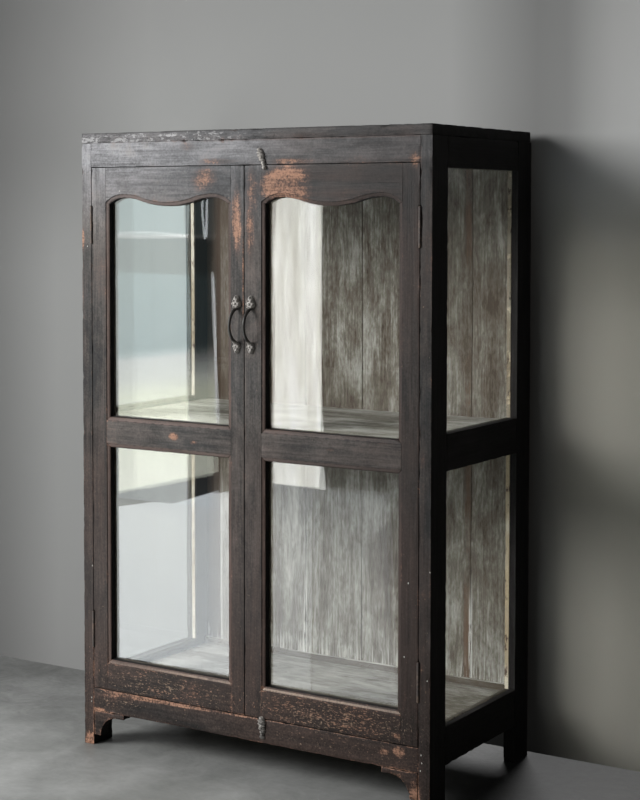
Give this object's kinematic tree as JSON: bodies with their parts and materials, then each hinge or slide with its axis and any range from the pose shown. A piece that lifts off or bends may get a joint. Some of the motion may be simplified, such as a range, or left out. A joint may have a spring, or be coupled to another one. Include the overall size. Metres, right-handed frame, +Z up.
{
  "type": "glass display cabinet",
  "caption": "Free-standing display cabinet with glazed sides, glazed hinged doors with arched upper panes, a shelf, a boarded back, pull handles and turn buttons.",
  "frame": {"origin": "on the floor, half way across and half way between the front of the pulls and the back of the rear posts", "axes": "+X to the right seen from the front, +Y to the back, +Z up; the doors face -Y"},
  "size_m": [1, 0.546, 1.55],
  "materials": {
    "dark_painted_wood": "aged charcoal paint worn through to orange-brown wood on edges, low sheen",
    "whitewashed_boards": "brushed grey-white wash over brown boards, matt",
    "bead_paint": "old cream paint, matt, chipped",
    "window_glass": "clear drawn glass, slightly wavy",
    "cast_iron_fittings": "blackened cast iron, rubbed bright on the high points",
    "hinge_iron": "dark oxidised iron"
  },
  "bodies": {
    "carcass": {"front_left_post": "dark_painted_wood", "rear_left_post": "dark_painted_wood", "left_side_top_rail": "dark_painted_wood", "left_side_middle_rail": "dark_painted_wood", "left_side_bottom_rail": "dark_painted_wood", "left_side_lower_glass": "window_glass", "left_side_upper_glass": "window_glass", "left_side_beads": "bead_paint", "left_bracket_foot": "dark_painted_wood", "front_right_post": "dark_painted_wood", "rear_right_post": "dark_painted_wood", "right_side_top_rail": "dark_painted_wood", "right_side_middle_rail": "dark_painted_wood", "right_side_bottom_rail": "dark_painted_wood", "right_side_lower_glass": "window_glass", "right_side_upper_glass": "window_glass", "right_side_beads": "bead_paint", "right_bracket_foot": "dark_painted_wood", "frieze_rail": "dark_painted_wood", "front_bottom_rail": "dark_painted_wood", "rear_top_rail": "dark_painted_wood", "rear_bottom_rail": "dark_painted_wood", "top_board": "dark_painted_wood", "back_board_1": "whitewashed_boards", "back_board_2": "whitewashed_boards", "back_board_3": "whitewashed_boards", "back_board_4": "whitewashed_boards", "back_board_5": "whitewashed_boards", "back_board_6": "whitewashed_boards", "shelf_front_board": "whitewashed_boards", "shelf_rear_board": "whitewashed_boards", "floor_front_board": "whitewashed_boards", "floor_rear_board": "whitewashed_boards", "side_cleats": "whitewashed_boards", "floor_back_ledge": "whitewashed_boards", "post_hinge_leaves": "hinge_iron", "hinge_pins": "hinge_iron", "turn_button_screws": "cast_iron_fittings"},
    "left_door": {"left_door_hinge_stile": "dark_painted_wood", "left_door_meeting_stile": "dark_painted_wood", "left_door_bottom_rail": "dark_painted_wood", "left_door_middle_rail": "dark_painted_wood", "left_door_top_rail": "dark_painted_wood", "left_door_lower_glass": "window_glass", "left_door_upper_glass": "window_glass", "left_door_beads": "bead_paint", "left_door_pull": "cast_iron_fittings", "left_door_hinge_leaves": "hinge_iron"},
    "right_door": {"right_door_hinge_stile": "dark_painted_wood", "right_door_meeting_stile": "dark_painted_wood", "right_door_bottom_rail": "dark_painted_wood", "right_door_middle_rail": "dark_painted_wood", "right_door_top_rail": "dark_painted_wood", "right_door_lower_glass": "window_glass", "right_door_upper_glass": "window_glass", "right_door_beads": "bead_paint", "right_door_pull": "cast_iron_fittings", "right_door_hinge_leaves": "hinge_iron"},
    "top_turn_button": {"top_turn_button": "cast_iron_fittings"},
    "bottom_turn_button": {"bottom_turn_button": "cast_iron_fittings"}
  },
  "joints": [
    {"name": "left_door_hinge", "type": "hinge", "parent": "carcass", "child": "left_door", "pos_m": [-0.46925, -0.238, 0.75], "axis": [0, 0, -1], "range_deg": [0, 170]},
    {"name": "right_door_hinge", "type": "hinge", "parent": "carcass", "child": "right_door", "pos_m": [0.46925, -0.238, 0.75], "axis": [0, 0, 1], "range_deg": [0, 170]},
    {"name": "top_button_swivel", "type": "hinge", "parent": "carcass", "child": "top_turn_button", "pos_m": [0.046, -0.237, 1.482], "axis": [0, 1, 0], "continuous": true},
    {"name": "bottom_button_swivel", "type": "hinge", "parent": "carcass", "child": "bottom_turn_button", "pos_m": [0.046, -0.237, 0.1295], "axis": [0, 1, 0], "continuous": true}
  ]
}
